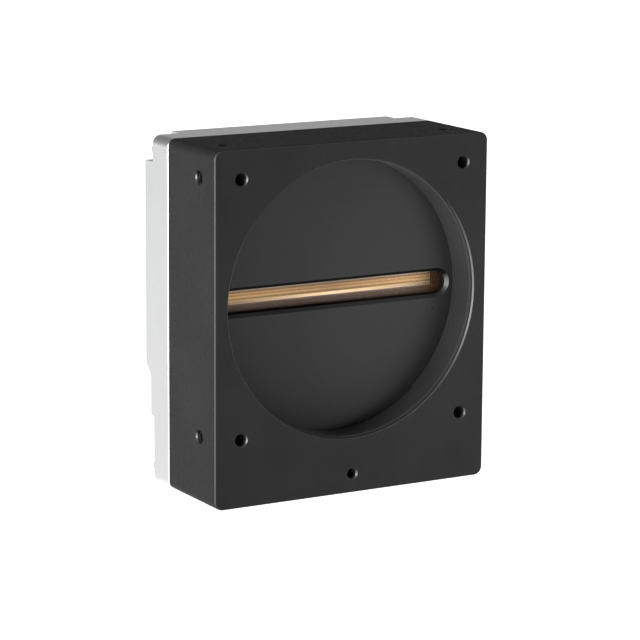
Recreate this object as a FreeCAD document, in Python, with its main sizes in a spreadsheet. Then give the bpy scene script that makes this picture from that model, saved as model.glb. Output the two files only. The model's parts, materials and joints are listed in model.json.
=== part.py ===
"""Line scan machine vision camera: a black aluminium front block with a large threaded lens bore, the
line sensor behind a slot in the bore's floor, three circuit boards, and an aluminium rear shell that
carries the sockets.

Millimetres. The origin is on the lens axis at the front face. X points right as seen from the front, Y
points backwards into the camera and Z points up.
"""

import FreeCAD, Part

import math
import os
import re

import Sketcher

Vector = FreeCAD.Vector

# Every size that can be set by itself. Radii and distances are in millimetres, and so are positions, which
# are measured from the lens axis and the front face unless the name says otherwise.
SIZES = {
    # outer form
    "body_width": 105.0,
    "body_height": 120.0,
    "axis_to_top": 53.4,
    "corner_radius": 3.0,
    "edge_break": 0.5,
    "block_depth": 33.0,
    "low_depth": 44.3,
    "middle_depth": 46.5,
    "overall_depth": 50.0,
    # lens bore and the plate at its end
    "bore_radius": 47.5,
    "bore_depth": 13.0,
    "bore_chamfer": 0.45,
    "web_thickness": 2.3,
    "slot_length": 89.8,
    "slot_height": 8.1,
    "slot_chamfer": 1.1,
    "dimple_radius": 0.25,
    "dimple_depth": 0.6,
    "dimple_across": 39.4,
    "dimple_drop": 8.8,
    # tapped holes for the lens adapter and for mounting
    "mount_hole_radius": 2.1,
    "mount_countersink_radius": 2.525,
    "front_pitch_across": 85.5,
    "front_pitch_up": 87.0,
    "front_hole_depth": 9.0,
    "side_pitch": 87.0,
    "top_pitch": 85.2,
    "side_hole_setback": 11.0,
    "side_hole_depth": 7.0,
    "lower_hole_radius": 1.7,
    "lower_countersink_radius": 2.225,
    "lower_hole_drop": 60.1,
    "lower_hole_depth": 8.0,
    "drill_angle": 118.0,
    "countersink_angle": 90.0,
    # hollow of the front block
    "front_wall": 17.0,
    "block_side_wall": 3.5,
    "block_end_wall": 3.4,
    "lug_width": 7.6,
    "lug_height": 9.6,
    "lug_radius": 2.0,
    # screw threads: hole cores, clearance holes and the play of a shank in its core
    "coarse_core_radius": 1.25,
    "coarse_clear_radius": 1.7,
    "fine_core_radius": 1.025,
    "fine_clear_radius": 1.35,
    "thread_play": 0.01,
    # sensor package
    "sensor_rise": 1.1,
    "seal_thickness": 0.3,
    "seal_width": 1.2,
    "glass_thickness": 0.5,
    "glass_overlap": 1.0,
    "package_length": 96.0,
    "package_height": 16.6,
    "package_thickness": 3.1,
    "package_play": 0.2,
    "cavity_length": 92.4,
    "cavity_height": 12.2,
    "cavity_depth": 1.1,
    "die_length": 82.0,
    "die_height": 7.0,
    "die_thickness": 0.7,
    "die_drop": 1.0,
    "film_thickness": 0.1,
    "film_margin": 0.6,
    # sensor board
    "board_thickness": 1.6,
    "sensor_board_width": 96.0,
    "sensor_board_height": 72.0,
    "sensor_screw_pitch_across": 87.0,
    "sensor_screw_pitch_up": 64.0,
    "boss_radius": 3.2,
    "sensor_hole_depth": 5.5,
    "sensor_screw_length": 6.0,
    "window_play": 0.4,
    # heat spreader behind the sensor
    "sensor_pad_thickness": 0.5,
    "spreader_bar_length": 70.0,
    "spreader_bar_height": 6.0,
    "spacer_length": 1.5,
    "spacer_radius": 2.4,
    "spreader_width": 92.0,
    "spreader_height": 48.2,
    "spreader_thickness": 3.0,
    "spreader_screw_pitch_across": 85.0,
    "spreader_screw_pitch_up": 38.0,
    "spreader_hole_depth": 4.0,
    "spreader_screw_length": 9.5,
    # screw heads
    "fine_head_radius": 2.25,
    "fine_head_height": 1.7,
    "coarse_head_radius": 2.75,
    "coarse_head_height": 2.0,
    "drive_width": 2.0,
    "drive_depth": 1.2,
    # stacking connectors between the sensor board and the processor board
    "stack_rise": 30.0,
    "stack_length": 52.0,
    "stack_width": 6.2,
    "stack_slot_length": 47.0,
    "stack_slot_width": 2.6,
    "stack_socket_height": 6.8,
    "stack_slot_depth": 5.4,
    "stack_tongue_depth": 5.0,
    "tongue_play": 0.1,
    # processor board on its standoffs
    "standoff_length": 14.5,
    "standoff_width": 5.0,
    "standoff_across": 44.5,
    "standoff_top_rise": 39.5,
    "standoff_low_drop": 50.0,
    "standoff_stud_length": 5.0,
    "standoff_stud_hole_depth": 6.0,
    "standoff_hole_depth": 6.5,
    "processor_board_width": 95.0,
    "processor_board_top": 43.3,
    "processor_board_drop": 54.0,
    "processor_screw_length": 7.0,
    "processor_size": 31.0,
    "processor_height": 3.0,
    "processor_rise": 8.0,
    "processor_pad_size": 28.0,
    "processor_pad_thickness": 0.8,
    "memory_width": 9.0,
    "memory_length": 13.0,
    "memory_height": 1.2,
    "memory_across": 24.0,
    "memory_pitch": 16.0,
    "inductor_size": 7.0,
    "inductor_height": 4.0,
    "inductor_first": -30.0,
    "inductor_pitch": 10.0,
    "supply_rise": 34.0,
    "capacitor_width": 3.0,
    "capacitor_length": 4.0,
    "capacitor_height": 2.8,
    "capacitor_first": 4.0,
    "capacitor_pitch": 6.0,
    # link connector between the processor board and the interface board
    "link_drop": 47.0,
    "link_length": 40.0,
    "link_width": 5.2,
    "link_slot_length": 36.0,
    "link_slot_width": 2.2,
    "link_socket_height": 4.0,
    "link_slot_depth": 3.4,
    "link_tongue_depth": 3.0,
    "link_plug_height": 1.0,
    # interface board
    "interface_board_width": 87.2,
    "interface_board_top_drop": 31.5,
    "interface_board_low_drop": 62.5,
    "interface_screw_pitch_across": 81.0,
    "interface_screw_top_drop": 34.5,
    "interface_screw_low_drop": 59.5,
    "interface_boss_radius": 3.0,
    "interface_hole_depth": 3.4,
    "interface_screw_length": 4.8,
    "driver_size": 5.0,
    "driver_height": 0.9,
    "driver_drop": 39.0,
    # coaxial sockets
    "connector_drop": 54.8,
    "coax_first": -32.0,
    "coax_pitch": 13.5,
    "coax_base_size": 10.0,
    "coax_base_height": 1.9,
    "coax_radius": 3.5,
    "coax_length": 11.6,
    "coax_mouth_chamfer": 0.3,
    "coax_bore_radius": 2.6,
    "coax_bore_depth": 6.5,
    "coax_core_radius": 1.72,
    "coax_lug_radius": 0.5,
    "coax_lug_height": 0.5,
    "coax_lug_setback": 2.0,
    "coax_insulator_radius": 1.7,
    "coax_insulator_length": 9.8,
    "coax_contact_radius": 0.6,
    "coax_contact_length": 9.6,
    "coax_contact_bore_radius": 0.25,
    "coax_contact_bore_depth": 3.0,
    "coax_nut_width": 9.0,
    "coax_nut_height": 1.8,
    "contact_tail": 2.4,
    "contact_play": 0.02,
    "tail_play": 0.1,
    # round power and signal socket
    "power_across": 28.0,
    "power_base_size": 14.5,
    "power_radius": 6.0,
    "power_length": 11.8,
    "power_bore_radius": 4.8,
    "power_key_width": 1.2,
    "power_key_height": 0.5,
    "power_insulator_length": 4.4,
    "power_insulator_play": 0.02,
    "power_pin_radius": 0.4,
    "power_pin_length": 7.0,
    "power_outer_ring": 3.3,
    "power_inner_ring": 1.3,
    "power_nut_radius": 7.5,
    "power_nut_height": 2.0,
    "power_nut_slot_width": 1.6,
    "power_nut_slot_depth": 0.8,
    # status light
    "light_across": 17.2,
    "light_radius": 1.5,
    "light_flange_radius": 2.1,
    "light_flange_height": 0.9,
    "light_stand_out": 0.6,
    "lamp_length": 1.6,
    "lamp_width": 0.8,
    "lamp_height": 0.8,
    # rear shell
    "shell_wall": 3.0,
    "panel_thickness": 2.5,
    "back_thickness": 3.5,
    "shell_edge": 0.6,
    "middle_bottom_drop": 43.1,
    "slant_low_drop": 29.5,
    "slant_high_drop": 25.3,
    "platform_width": 9.9,
    "platform_height": 9.1,
    "pedestal_size": 30.0,
    "groove_length": 56.0,
    "groove_width": 3.0,
    "groove_depth": 2.0,
    "groove_pitch": 6.25,
    "groove_count": 12,
    "panel_hole_play": 0.1,
    # shell screws
    "shell_screw_from_side": 3.4,
    "shell_screw_from_end": 5.4,
    "shell_screw_length": 18.0,
    "shell_hole_depth": 9.0,
}

# Levels and places that follow from the sizes, as expressions of them.
RIGHT = "(body_width / 2)"
TOP = "axis_to_top"
BOTTOM = "(axis_to_top - body_height)"
WEB_BACK = "(bore_depth + web_thickness)"
GLASS_FRONT = f"({WEB_BACK} + seal_thickness)"
PACKAGE_FRONT = f"({GLASS_FRONT} + glass_thickness)"
CAVITY_FLOOR = f"({PACKAGE_FRONT} + cavity_depth)"
PACKAGE_BACK = f"({PACKAGE_FRONT} + package_thickness)"
SENSOR_BOARD_BACK = f"({PACKAGE_BACK} + board_thickness)"
SPREADER_FRONT = f"({SENSOR_BOARD_BACK} + spacer_length)"
SPREADER_BACK = f"({SPREADER_FRONT} + spreader_thickness)"
STACK_FACE = f"({SENSOR_BOARD_BACK} + stack_socket_height)"
PROCESSOR_FRONT = "(front_wall + standoff_length)"
PROCESSOR_BACK = f"({PROCESSOR_FRONT} + board_thickness)"
PAD_BACK = f"({PROCESSOR_BACK} + processor_height + processor_pad_thickness)"
LINK_FACE = f"({PROCESSOR_BACK} + link_socket_height)"
INTERFACE_FRONT = f"({LINK_FACE} + link_plug_height)"
INTERFACE_BACK = f"({INTERFACE_FRONT} + board_thickness)"
PANEL_FRONT = "(low_depth - panel_thickness)"
MIDDLE_FRONT = "(middle_depth - panel_thickness)"
BACK_FRONT = "(overall_depth - back_thickness)"
SCREW_ACROSS = f"({RIGHT} - shell_screw_from_side)"
SCREW_TOP = f"({TOP} - shell_screw_from_end)"
SCREW_LOW = f"({BOTTOM} + shell_screw_from_end)"
COAX_PLACES = [f"(coax_first + {index} * coax_pitch)" for index in range(4)]

doc = FreeCAD.newDocument("Camera")
nodes = []


# --- the sheet and its expressions ---


def write_sheet():
    """Puts every size in a cell whose alias is the size's name."""
    table = doc.addObject("Spreadsheet::Sheet", "Sizes")
    for row, (alias, number) in enumerate(SIZES.items(), 1):
        table.set(f"A{row}", alias.replace("_", " "))
        table.set(f"B{row}", str(number))
        table.setAlias(f"B{row}", alias)
    doc.recompute()
    return table


def expression(text):
    """The text with each size's name written as a cell of the sheet."""
    return re.sub(r"[a-z][a-z_]+", lambda word: cell_name(word.group()), text)


def cell_name(word):
    return f"Sizes.{word}" if word in SIZES else word


def value(text):
    """What an expression comes to now."""
    return float(sheet.evalExpression(expression(text)))


def bind(thing, path, text):
    """Ties a property to an expression of the sizes."""
    thing.setExpression(path, expression(text))


# --- sketches ---


def origin_part(body, role):
    return next(item for item in body.Origin.OriginFeatures if item.Role == role)


def sketch_on(body, name, role, level):
    """A sketch on one of the body's own origin planes, moved along the plane's normal by level."""
    sketch = body.newObject("Sketcher::SketchObject", name)
    sketch.AttachmentSupport = (origin_part(body, role), [""])
    sketch.MapMode = "FlatFace"
    bind(sketch, "AttachmentOffset.Base.z", level)
    return sketch


def facing_sketch(body, name, level):
    """A sketch seen from the front, at the distance level behind the front face: X across, Z up."""
    return sketch_on(body, name, "XZ_Plane", f"-1 * ({level})")


def fix_point(sketch, geometry, point, across, up):
    for kind, text in (("DistanceX", across), ("DistanceY", up)):
        constraint = Sketcher.Constraint(kind, -1, 1, geometry, point, value(text))
        bind(sketch, f"Constraints[{sketch.addConstraint(constraint)}]", text)


def fix_radius(sketch, geometry, text):
    constraint = Sketcher.Constraint("Radius", geometry, value(text))
    bind(sketch, f"Constraints[{sketch.addConstraint(constraint)}]", text)


def outline(sketch, corners):
    """A closed outline of straight lines through corners, each a pair of expressions."""
    first, count = sketch.GeometryCount, len(corners)
    points = [Vector(value(across), value(up), 0) for across, up in corners]
    for index in range(count):
        sketch.addGeometry(Part.LineSegment(points[index], points[(index + 1) % count]), False)
    for index in range(count):
        following = first + (index + 1) % count
        sketch.addConstraint(Sketcher.Constraint("Coincident", first + index, 2, following, 1))
    for index, (across, up) in enumerate(corners):
        fix_point(sketch, first + index, 1, across, up)


def box_outline(sketch, across, up, width, height):
    """A rectangle about the point (across, up)."""
    left, right = f"{across} - {width} / 2", f"{across} + {width} / 2"
    low, high = f"{up} - {height} / 2", f"{up} + {height} / 2"
    outline(sketch, [(left, low), (right, low), (right, high), (left, high)])


def circle(sketch, across, up, radius):
    centre = Vector(value(across), value(up), 0)
    index = sketch.addGeometry(Part.Circle(centre, Vector(0, 0, 1), value(radius)), False)
    fix_point(sketch, index, 3, across, up)
    fix_radius(sketch, index, radius)


def stadium(sketch, ends, radius):
    """Two half circles about the points in ends, joined by tangent lines."""
    (x_a, y_a), (x_b, y_b) = ((value(across), value(up)) for across, up in ends)
    turn = math.atan2(y_b - y_a, x_b - x_a)
    side = Vector(-math.sin(turn), math.cos(turn), 0) * value(radius)
    centres = [Vector(x_a, y_a, 0), Vector(x_b, y_b, 0)]
    arcs = []
    for centre, start in zip(centres, (turn + math.pi / 2, turn - math.pi / 2)):
        whole = Part.Circle(centre, Vector(0, 0, 1), value(radius))
        arcs.append(sketch.addGeometry(Part.ArcOfCircle(whole, start, start + math.pi), False))
    low = sketch.addGeometry(Part.LineSegment(centres[0] - side, centres[1] - side), False)
    high = sketch.addGeometry(Part.LineSegment(centres[1] + side, centres[0] + side), False)
    for joint in ((arcs[0], 2, low, 1), (low, 2, arcs[1], 1), (arcs[1], 2, high, 1), (high, 2, arcs[0], 1)):
        sketch.addConstraint(Sketcher.Constraint("Tangent", *joint))
    for arc, (across, up) in zip(arcs, ends):
        fix_point(sketch, arc, 3, across, up)
    fix_radius(sketch, arcs[0], radius)
    sketch.addConstraint(Sketcher.Constraint("Equal", arcs[0], arcs[1]))


def hexagon(sketch, across, up, width):
    """A regular hexagon with two sides level, measured across its flats."""
    corners = []
    for angle in range(0, 360, 60):
        reach = f"{width} / 2 / cos(30)"
        corners.append((f"{across} + {reach} * cos({angle})", f"{up} + {reach} * sin({angle})"))
    outline(sketch, corners)


# --- features ---


def new_body(label):
    body = doc.addObject("PartDesign::Body", label)
    body.Label = label
    body.AllowCompound = True
    nodes.append(body)
    return body


def extrude(body, kind, sketch, length, reverse):
    feature = body.newObject(f"PartDesign::{kind}", f"{sketch.Name}_{kind.lower()}")
    feature.Profile = sketch
    bind(feature, "Length", length)
    feature.Reversed = reverse
    body.Tip = feature
    return feature


def pad_back(body, sketch, length):
    """Material from a facing sketch towards the back."""
    return extrude(body, "Pad", sketch, length, True)


def cut_back(body, sketch, length):
    """A pocket from a facing sketch towards the back."""
    return extrude(body, "Pocket", sketch, length, False)


def cut_front(body, sketch, length):
    """A pocket from a facing sketch towards the front."""
    return extrude(body, "Pocket", sketch, length, True)


def revolve(body, kind, sketch):
    """Turns a half profile about its sketch's upright axis."""
    feature = body.newObject(f"PartDesign::{kind}", f"{sketch.Name}_turned")
    feature.Profile = sketch
    feature.ReferenceAxis = (sketch, ["V_Axis"])
    feature.Angle = 360
    body.Tip = feature
    return feature


def dress(body, kind, base, size, test):
    """A fillet or chamfer on those edges of the base that pass the test."""
    doc.recompute()
    edges = [f"Edge{index}" for index, edge in enumerate(base.Shape.Edges, 1) if test(edge)]
    feature = body.newObject(f"PartDesign::{kind}", f"{base.Name}_{kind.lower()}")
    feature.Base = (base, edges)
    bind(feature, "Radius" if kind == "Fillet" else "Size", size)
    body.Tip = feature
    return feature


def drill(body, name, sketch, radius, depth, reverse=False, countersink=None):
    """Blind holes at a sketch's circles: countersunk with a drill point, or plain with a flat end."""
    doc.recompute()
    hole = body.newObject("PartDesign::Hole", name)
    hole.Profile = sketch
    doc.recompute()
    hole.ThreadType = "None"
    bind(hole, "Diameter", f"2 * {radius}")
    hole.DepthType = "Dimension"
    bind(hole, "Depth", depth)
    hole.DrillPoint = "Angled" if countersink else "Flat"
    hole.Reversed = reverse
    if countersink:
        bind(hole, "DrillPointAngle", "drill_angle")
        hole.HoleCutType = "Countersink"
        bind(hole, "HoleCutDiameter", f"2 * {countersink}")
        bind(hole, "HoleCutCountersinkAngle", "countersink_angle")
    body.Tip = hole
    return hole


def mirror(body, name, role, feature=None):
    """One feature, or else the body so far, and its mirror image in one of the body's origin planes."""
    doc.recompute()
    mirrored = body.newObject("PartDesign::Mirrored", name)
    if feature:
        mirrored.Originals = [feature]
    else:
        mirrored.TransformMode = "Whole shape"
    mirrored.MirrorPlane = (origin_part(body, role), [""])
    body.Tip = mirrored


def repeat(body, name, role, length, count=2):
    """The body so far, repeated along one of its origin axes over a length."""
    doc.recompute()
    feature = body.newObject("PartDesign::LinearPattern", name)
    feature.TransformMode = "Whole shape"
    feature.Direction = (origin_part(body, role), [""])
    bind(feature, "Length", length)
    feature.Occurrences = count
    body.Tip = feature


def place(thing, across, back, up):
    """Puts a sub-part at a point of the camera."""
    for axis, text in zip("xyz", (across, back, up)):
        bind(thing, f"Placement.Base.{axis}", text)


def block(label, across, front, up, size):
    """A plain box: size is its width, depth and height, and front is where its front face lies."""
    box = doc.addObject("Part::Box", label)
    box.Label = label
    for side, text in zip(("Length", "Width", "Height"), size):
        bind(box, side, text)
    place(box, f"{across} - {size[0]} / 2", front, f"{up} - {size[2]} / 2")
    nodes.append(box)


# --- shapes that several sub-parts share ---


def hollow_outline(sketch, side_wall, end_wall):
    """The inside of a housing: a rectangle that leaves a lug at each corner for a shell screw."""
    far, near = f"({RIGHT} - {side_wall})", f"({RIGHT} - lug_width)"
    top, high = f"({TOP} - {end_wall})", f"({TOP} - lug_height)"
    bottom, low = f"({BOTTOM} + {end_wall})", f"({BOTTOM} + lug_height)"
    right_side = [(near, bottom), (near, low), (far, low), (far, high), (near, high), (near, top)]
    left_side = [(f"-1 * {across}", up) for across, up in reversed(right_side)]
    outline(sketch, right_side + left_side)


def is_corner_post(edge):
    """Whether an edge runs straight back along a corner of a lug or of the outline."""
    box = edge.BoundBox
    return box.XLength < 1e-4 and box.ZLength < 1e-4 and box.YLength > 1


def at_outline_corner(edge):
    centre = edge.BoundBox.Center
    at_side = abs(centre.x) > value(RIGHT) - 1e-3
    at_end = centre.z > value(TOP) - 1e-3 or centre.z < value(BOTTOM) + 1e-3
    return is_corner_post(edge) and at_side and at_end


def on_outline(edge, level):
    """Whether an edge lies in the facing plane at a level, on the camera's outer outline."""
    box = edge.BoundBox
    if abs(box.YMin - level) > 1e-3 or abs(box.YMax - level) > 1e-3:
        return False
    reach = value(RIGHT) - value("corner_radius") - 1e-3
    high = value(TOP) - value("corner_radius") - 1e-3
    low = value(BOTTOM) + value("corner_radius") + 1e-3
    at_side = min(abs(box.XMin), abs(box.XMax)) > reach
    return at_side or box.ZMin > high or box.ZMax < low


def four_points(across, low, high):
    return [(f"{side} * {across}", up) for side in (-1, 1) for up in (low, high)]


def screws(label, across, low, pitch_up, seat, length, grade, towards_front=True, drive=False):
    """Four screws as one set. The seat is where the underside of the heads lies."""
    body = new_body(label)
    sign = "-1" if towards_front else "1"
    profile = sketch_on(body, f"{label}_profile", "XY_Plane", low)
    bind(profile, "AttachmentOffset.Base.x", across)
    bind(profile, "AttachmentOffset.Base.y", seat)
    head, shank = f"{grade}_head_radius", f"({grade}_core_radius - thread_play)"
    end, cap = f"{sign} * {length}", f"-1 * {sign} * {grade}_head_height"
    outline(profile, [("0", end), (shank, end), (shank, "0"), (head, "0"), (head, cap), ("0", cap)])
    revolve(body, "Revolution", profile)
    if drive:
        recess = facing_sketch(body, f"{label}_drive", f"{seat} + {cap}")
        hexagon(recess, across, low, "drive_width")
        cut_front(body, recess, "drive_depth")
    repeat(body, f"{label}_rows", "Z_Axis", pitch_up)
    mirror(body, f"{label}_mirror", "YZ_Plane")


def circuit_board(label, front, width, low, high, holes, window=None):
    """A circuit board with round holes, each (across, up, radius), and perhaps a rectangular window."""
    body = new_body(label)
    plan = facing_sketch(body, f"{label}_plan", front)
    box_outline(plan, "0", f"({low} + {high}) / 2", width, f"({high} - {low})")
    for across, up, radius in holes:
        circle(plan, across, up, radius)
    if window:
        box_outline(plan, *window)
    pad_back(body, plan, "board_thickness")


def board_socket(label, family, up, front, height):
    """The slotted half of a board connector, open to the back."""
    body = new_body(label)
    plan = facing_sketch(body, f"{label}_plan", front)
    box_outline(plan, "0", up, f"{family}_length", f"{family}_width")
    pad_back(body, plan, height)
    slot = facing_sketch(body, f"{label}_slot", f"{front} + {height}")
    box_outline(slot, "0", up, f"{family}_slot_length", f"{family}_slot_width")
    cut_front(body, slot, f"{family}_slot_depth")


def board_plug(label, family, up, face, height):
    """The other half, whose tongue stands in the slot."""
    body = new_body(label)
    plan = facing_sketch(body, f"{label}_plan", face)
    box_outline(plan, "0", up, f"{family}_length", f"{family}_width")
    pad_back(body, plan, height)
    tongue = facing_sketch(body, f"{label}_tongue", face)
    length, width = (f"({family}_slot_{side} - 2 * tongue_play)" for side in ("length", "width"))
    box_outline(tongue, "0", up, length, width)
    extrude(body, "Pad", tongue, f"{family}_tongue_depth", False)


def turned(label, corners, across, up):
    """A turned piece of a socket: corners are (radius, distance behind the interface board)."""
    body = new_body(label)
    profile = sketch_on(body, f"{label}_profile", "XY_Plane", "0")
    outline(profile, corners)
    revolve(body, "Revolution", profile)
    place(body, across, INTERFACE_BACK, up)
    return body


def tube(label, inner, outer, near, far, across, up):
    """A plain turned ring between two distances behind the interface board."""
    corners = [(inner, near), (outer, near), (outer, far), (inner, far)]
    return turned(label, corners, across, up)


# --- front block ---


def front_housing():
    body = new_body("front_housing")
    plan = facing_sketch(body, "block_plan", "0")
    box_outline(plan, "0", f"({TOP} + {BOTTOM}) / 2", "body_width", "body_height")
    solid = pad_back(body, plan, "block_depth")
    solid = dress(body, "Fillet", solid, "corner_radius", at_outline_corner)
    dress(body, "Fillet", solid, "edge_break", lambda edge: on_outline(edge, 0))
    lens_bore(body)
    block_hollow(body)
    outer_tapped_holes(body)
    inner_tapped_holes(body)


def lens_bore(body):
    """The bore, its mouth chamfer, and the slot that the sensor looks through."""
    opening = facing_sketch(body, "bore_circle", "0")
    circle(opening, "0", "0", "bore_radius")
    bore = cut_back(body, opening, "bore_depth")

    def at_mouth(edge):
        box = edge.BoundBox
        return box.YMax < 1e-3 and abs(box.XMax - value("bore_radius")) < 1e-3

    dress(body, "Chamfer", bore, "bore_chamfer", at_mouth)
    plan = facing_sketch(body, "slot_plan", "bore_depth")
    centre = "(slot_length / 2 - slot_height / 2)"
    stadium(plan, [(f"-1 * {centre}", "0"), (centre, "0")], "slot_height / 2")
    slot = cut_back(body, plan, "(front_wall - bore_depth)")

    def at_slot_front(edge):
        box = edge.BoundBox
        level = value("bore_depth")
        in_plane = abs(box.YMin - level) < 1e-3 and abs(box.YMax - level) < 1e-3
        return in_plane and box.ZMax < value("slot_height") and box.ZMin > -value("slot_height")

    dress(body, "Chamfer", slot, "slot_chamfer", at_slot_front)
    dimple = facing_sketch(body, "dimple_plan", "bore_depth")
    circle(dimple, "dimple_across", "-1 * dimple_drop", "dimple_radius")
    cut_back(body, dimple, "dimple_depth")


def block_hollow(body):
    """The hollow for the boards, the seat of the sensor package and the bosses round it."""
    plan = facing_sketch(body, "hollow_plan", "front_wall")
    hollow_outline(plan, "block_side_wall", "block_end_wall")
    hollow = cut_back(body, plan, "(block_depth - front_wall)")

    def at_hollow_corner(edge):
        return is_corner_post(edge) and edge.BoundBox.YMin > value("front_wall") - 1e-3

    dress(body, "Fillet", hollow, "lug_radius", at_hollow_corner)
    seat = facing_sketch(body, "package_seat", WEB_BACK)
    length, height = (f"(package_{side} + 2 * package_play)" for side in ("length", "height"))
    box_outline(seat, "0", "sensor_rise", length, height)
    cut_back(body, seat, f"(front_wall - {WEB_BACK})")
    bosses = facing_sketch(body, "boss_plan", "front_wall")
    for across, up in sensor_screw_places() + spreader_screw_places():
        circle(bosses, across, up, "boss_radius")
    pad_back(body, bosses, f"({PACKAGE_BACK} - front_wall)")


def sensor_screw_places():
    up = "sensor_screw_pitch_up / 2"
    return four_points("sensor_screw_pitch_across / 2", f"-1 * {up}", up)


def spreader_screw_places():
    up = "spreader_screw_pitch_up / 2"
    return four_points("spreader_screw_pitch_across / 2", f"sensor_rise - {up}", f"sensor_rise + {up}")


def standoff_places():
    return four_points("standoff_across", "-1 * standoff_low_drop", "standoff_top_rise")


def interface_screw_places():
    across = "interface_screw_pitch_across / 2"
    return four_points(across, "-1 * interface_screw_low_drop", "-1 * interface_screw_top_drop")


def shell_screw_places():
    return four_points(SCREW_ACROSS, SCREW_LOW, SCREW_TOP)


def outer_tapped_holes(body):
    """The holes that a lens adapter or a mount screws into: front, sides, top and bottom."""
    front = facing_sketch(body, "front_hole_plan", "0")
    for across, up in four_points("front_pitch_across / 2", "-1 * front_pitch_up / 2", "front_pitch_up / 2"):
        circle(front, across, up, "mount_hole_radius")
    radius, countersink = "mount_hole_radius", "mount_countersink_radius"
    drill(body, "front_holes", front, radius, "front_hole_depth", countersink=countersink)
    lower = facing_sketch(body, "lower_hole_plan", "0")
    circle(lower, "0", "-1 * lower_hole_drop", "lower_hole_radius")
    lower_countersink = "lower_countersink_radius"
    drill(body, "lower_hole", lower, "lower_hole_radius", "lower_hole_depth", countersink=lower_countersink)
    for name, role, level, reverse in (
        ("right_holes", "YZ_Plane", RIGHT, False),
        ("left_holes", "YZ_Plane", f"-1 * {RIGHT}", True),
        ("top_holes", "XY_Plane", TOP, False),
        ("bottom_holes", "XY_Plane", BOTTOM, True),
    ):
        plan = sketch_on(body, f"{name}_plan", role, level)
        for side in (-1, 1):
            if role == "YZ_Plane":
                circle(plan, "side_hole_setback", f"{side} * side_pitch / 2", radius)
            else:
                circle(plan, f"{side} * top_pitch / 2", "side_hole_setback", radius)
        drill(body, name, plan, radius, "side_hole_depth", reverse, countersink)


def inner_tapped_holes(body):
    """The holes that hold the camera's own boards and rear shell, all drilled from the back."""
    for name, level, places, radius, depth in (
        ("sensor_holes", PACKAGE_BACK, sensor_screw_places(), "fine_core_radius", "sensor_hole_depth"),
        ("spreader_holes", PACKAGE_BACK, spreader_screw_places(), "fine_core_radius", "spreader_hole_depth"),
        ("standoff_holes", "front_wall", standoff_places(), "coarse_core_radius", "standoff_stud_hole_depth"),
        ("shell_holes", "block_depth", shell_screw_places(), "coarse_core_radius", "shell_hole_depth"),
    ):
        plan = facing_sketch(body, f"{name}_plan", level)
        for across, up in places:
            circle(plan, across, up, radius)
        drill(body, name, plan, radius, depth, reverse=True)


# --- sensor ---


def sensor_seal():
    """A flat rubber ring between the plate and the cover glass, as large as the glass."""
    body = new_body("sensor_seal")
    plan = facing_sketch(body, "seal_plan", WEB_BACK)
    length, height = glass_size()
    box_outline(plan, "0", "sensor_rise", length, height)
    inner = (f"({side} - 2 * seal_width)" for side in (length, height))
    box_outline(plan, "0", "sensor_rise", *inner)
    pad_back(body, plan, "seal_thickness")


def glass_size():
    return tuple(f"(cavity_{side} + 2 * glass_overlap)" for side in ("length", "height"))


def sensor_window():
    length, height = glass_size()
    block("sensor_window", "0", GLASS_FRONT, "sensor_rise", (length, "glass_thickness", height))


def sensor_package():
    """The ceramic tray that holds the sensor die."""
    body = new_body("sensor_package")
    plan = facing_sketch(body, "package_plan", PACKAGE_FRONT)
    box_outline(plan, "0", "sensor_rise", "package_length", "package_height")
    pad_back(body, plan, "package_thickness")
    cavity = facing_sketch(body, "cavity_plan", PACKAGE_FRONT)
    box_outline(cavity, "0", "sensor_rise", "cavity_length", "cavity_height")
    cut_back(body, cavity, "cavity_depth")


def sensor_die():
    """The silicon die on its adhesive film. Its lower edge is close under the lens axis."""
    front = f"({CAVITY_FLOOR} - film_thickness - die_thickness)"
    centre = "(die_height / 2 - die_drop)"
    block("sensor_die", "0", front, centre, ("die_length", "die_thickness", "die_height"))
    length, height = (f"(die_{side} + 2 * film_margin)" for side in ("length", "height"))
    film_front = f"({CAVITY_FLOOR} - film_thickness)"
    block("die_film", "0", film_front, centre, (length, "film_thickness", height))


def sensor_board():
    holes = [(*spot, "fine_clear_radius") for spot in sensor_screw_places() + spreader_screw_places()]
    length, height = (f"(spreader_bar_{side} + 2 * window_play)" for side in ("length", "height"))
    window = ("0", "sensor_rise", length, height)
    half = "sensor_board_height / 2"
    circuit_board("sensor_board", PACKAGE_BACK, "sensor_board_width", f"-1 * {half}", half, holes, window)
    screws(
        "sensor_board_screws",
        "sensor_screw_pitch_across / 2",
        "-1 * sensor_screw_pitch_up / 2",
        "sensor_screw_pitch_up",
        SENSOR_BOARD_BACK,
        "sensor_screw_length",
        "fine",
    )


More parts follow.
